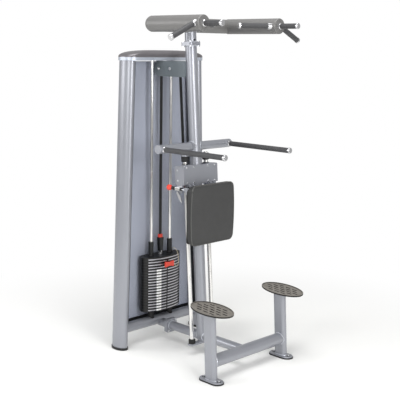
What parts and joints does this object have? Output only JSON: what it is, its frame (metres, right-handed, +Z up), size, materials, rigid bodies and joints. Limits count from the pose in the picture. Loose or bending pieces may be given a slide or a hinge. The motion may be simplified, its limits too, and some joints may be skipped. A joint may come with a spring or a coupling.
{
  "type": "assisted chin-up dip machine",
  "caption": "Counterweighted chin-up and dip stand: leaning post with chin and dip handles, knee pad on a sliding carriage, steps and a weight tower.",
  "frame": {"origin": "middle of the bounding box's footprint, at floor level", "axes": "+Z up, +Y from the user's steps towards the weight tower, +X to the right for someone who faces the tower"},
  "size_m": [1.175, 1.077, 2.229],
  "materials": {
    "frame_paint": "silver-grey metallic powder coat",
    "chin_paint": "warm grey metallic powder coat",
    "cap_paint": "silver-grey metallic coat",
    "panel_paint": "blue-grey, finely perforated sheet",
    "box_paint": "dark grey powder coat",
    "chrome": "polished chrome",
    "polished": "polished",
    "steel": "zinc plated",
    "alloy": "painted alloy casting",
    "grip_rubber": "matte grip rubber",
    "black_rubber": "matte",
    "black_plastic": "matte",
    "red_plastic": "moulded, slightly glossy",
    "stack_iron": "black paint with bare grey rims",
    "belt": "flat black drive belt",
    "tether": "thin coated cord",
    "pad_cover": "charcoal upholstery vinyl",
    "tread_metal": "cast, dull grey-beige",
    "pad_board": "black painted plywood"
  },
  "bodies": {
    "frame": {"main_post": "frame_paint", "chin_stub": "frame_paint", "flange_bolts": "steel", "chin_cross_tube": "chin_paint", "chin_arms": "chin_paint", "tube_end_caps": "chin_paint", "grip_bars": "steel", "grip_sleeves": "grip_rubber", "grip_collars": "polished", "grip_end_caps": "polished", "dip_arms": "frame_paint", "carriage_rods": "chrome", "rod_brackets": "frame_paint", "stop_rubbers": "black_rubber", "base_beam": "frame_paint", "step_beam": "frame_paint", "step_posts": "frame_paint", "step_treads": "tread_metal", "foot_rubbers": "black_rubber", "tower_column_right": "frame_paint", "tower_column_left": "frame_paint", "column_trims": "black_plastic", "rear_panel": "panel_paint", "top_cap": "cap_paint", "tower_base": "frame_paint", "top_beam": "frame_paint", "guide_rods": "chrome", "lower_weight_plates": "stack_iron", "pulley_box": "box_paint", "pulley_axles": "steel", "belt_over_pulleys": "belt"},
    "lifted_stack": {"stack_head_plate": "stack_iron", "lifted_weight_plates": "stack_iron", "selector_stem": "steel", "guide_sleeves": "black_plastic", "belt_clevis": "stack_iron", "belt_clamp": "red_plastic", "belt_stack_run": "belt", "pin_tether": "tether"},
    "selector": {"selector_pin": "steel", "selector_tag": "red_plastic"},
    "carriage": {"carriage_front_plate": "frame_paint", "carriage_side_plates": "frame_paint", "bearing_blocks": "alloy", "rod_bushings": "black_plastic", "carriage_bolts": "steel", "belt_yoke": "frame_paint", "belt_carriage_run": "belt", "hinge_pins": "steel", "pin_block": "chrome", "pin_nut": "black_plastic"},
    "pad": {"pad_bracket": "frame_paint", "pad_board": "pad_board", "pad_cushion": "pad_cover"},
    "pull_pin": {"pull_pin": "steel", "pin_sleeve": "black_plastic", "pin_knob": "red_plastic"},
    "latch_lever": {"chrome_lever": "chrome"},
    "rear_pulley": {"rear_pulley": "black_plastic"},
    "front_pulley": {"front_pulley": "black_plastic"}
  },
  "joints": [
    {"name": "stack_lift", "type": "slide", "parent": "frame", "child": "lifted_stack", "axis": [0, 0, 1], "range_m": [0, 0.6], "deforming": ["belt_stack_run"]},
    {"name": "carriage_slide", "type": "slide", "parent": "frame", "child": "carriage", "axis": [0, 0.0745, 0.9972], "range_m": [-0.6, 0], "deforming": ["belt_carriage_run"]},
    {"name": "rear_pulley_spin", "type": "hinge", "parent": "frame", "child": "rear_pulley", "pos_m": [0, 0.41847, 1.894], "axis": [1, 0, 0], "range_deg": [-10, 880]},
    {"name": "front_pulley_spin", "type": "hinge", "parent": "frame", "child": "front_pulley", "pos_m": [0, 0.31347, 1.894], "axis": [1, 0, 0], "range_deg": [-10, 880]},
    {"name": "pad_fold", "type": "hinge", "parent": "carriage", "child": "pad", "pos_m": [0, 0.02047, 1.125], "axis": [-1, 0, 0], "range_deg": [0, 90]},
    {"name": "pull_pin_slide", "type": "slide", "parent": "carriage", "child": "pull_pin", "axis": [0, -1, 0], "range_m": [-0.004, 0.009]},
    {"name": "latch_lever_turn", "type": "hinge", "parent": "carriage", "child": "latch_lever", "pos_m": [-0.157, 0.11047, 1.097], "axis": [-1, 0, 0], "range_deg": [-25, 35]},
    {"name": "selector_pull", "type": "slide", "parent": "lifted_stack", "child": "selector", "axis": [0, -1, 0], "range_m": [0, 0.06]}
  ],
  "couplings": [
    {"joint": "carriage_slide", "follows": "stack_lift", "ratio": -1},
    {"joint": "rear_pulley_spin", "follows": "stack_lift", "rad_per_m": 25.316},
    {"joint": "front_pulley_spin", "follows": "stack_lift", "rad_per_m": 25.316}
  ]
}
